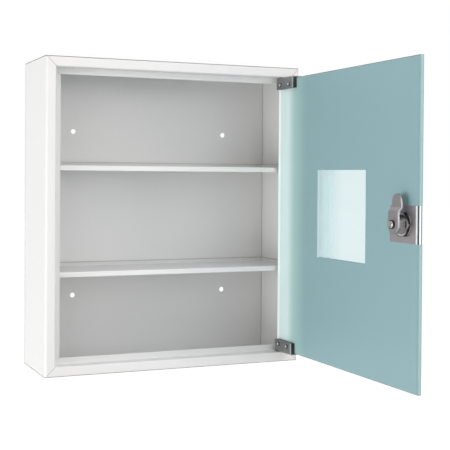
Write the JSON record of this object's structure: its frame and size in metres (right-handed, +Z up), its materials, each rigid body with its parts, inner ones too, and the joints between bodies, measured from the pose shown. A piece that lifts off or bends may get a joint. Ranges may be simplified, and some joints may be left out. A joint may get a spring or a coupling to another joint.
{
  "type": "lockable medicine cabinet",
  "caption": "Wall-hung cabinet of folded sheet steel with fixed shelves and a frosted glass door that swings on corner pivots and shuts with a cam lock.",
  "frame": {"origin": "centre of the four wall-screw holes, on the rear face of the back panel", "axes": "+Y into the wall along the wall screws, +Z up, +X to the right seen from the front; the front faces -Y and the door hangs on the right"},
  "size_m": [0.318, 0.3804, 0.36],
  "materials": {
    "white_paint": "smooth satin powder coat",
    "frosted_glass": "satin etched, with a clear square window",
    "clamp_metal": "dark plated, satin",
    "plated_steel": "bright zinc plating",
    "steel_screw": "bright",
    "black_pad": "matt",
    "black_bush": "matt",
    "clear_film": "smooth",
    "lock_chrome": "polished"
  },
  "bodies": {
    "cabinet": {"left_side": "white_paint", "right_side": "white_paint", "top_panel": "white_paint", "bottom_panel": "white_paint", "back_panel": "white_paint", "upper_shelf": "white_paint", "lower_shelf": "white_paint", "upper_pivot_bush": "black_bush", "lower_pivot_bush": "black_bush"},
    "door": {"door_glass": "frosted_glass", "upper_hinge_clamp": "clamp_metal", "lower_hinge_clamp": "clamp_metal", "upper_clamp_pad": "black_pad", "lower_clamp_pad": "black_pad", "upper_clamp_screws": "steel_screw", "lower_clamp_screws": "steel_screw", "upper_pivot_pin": "steel_screw", "lower_pivot_pin": "steel_screw", "lock_bracket": "plated_steel", "bracket_film": "clear_film", "lock_barrel": "lock_chrome", "lock_washer": "plated_steel", "lock_nut": "plated_steel"},
    "lock": {"lock_plug": "lock_chrome", "lock_cam": "plated_steel", "cam_washer": "plated_steel", "cam_screw": "steel_screw"}
  },
  "joints": [
    {"name": "door_swing", "type": "hinge", "parent": "cabinet", "child": "door", "pos_m": [0.141, -0.0916, 0], "axis": [0, 0, 1], "range_deg": [-90, 7]},
    {"name": "cam_turn", "type": "hinge", "parent": "door", "child": "lock", "pos_m": [0.1385, -0.3541, 0], "axis": [1, 0, 0], "range_deg": [0, 90]}
  ]
}
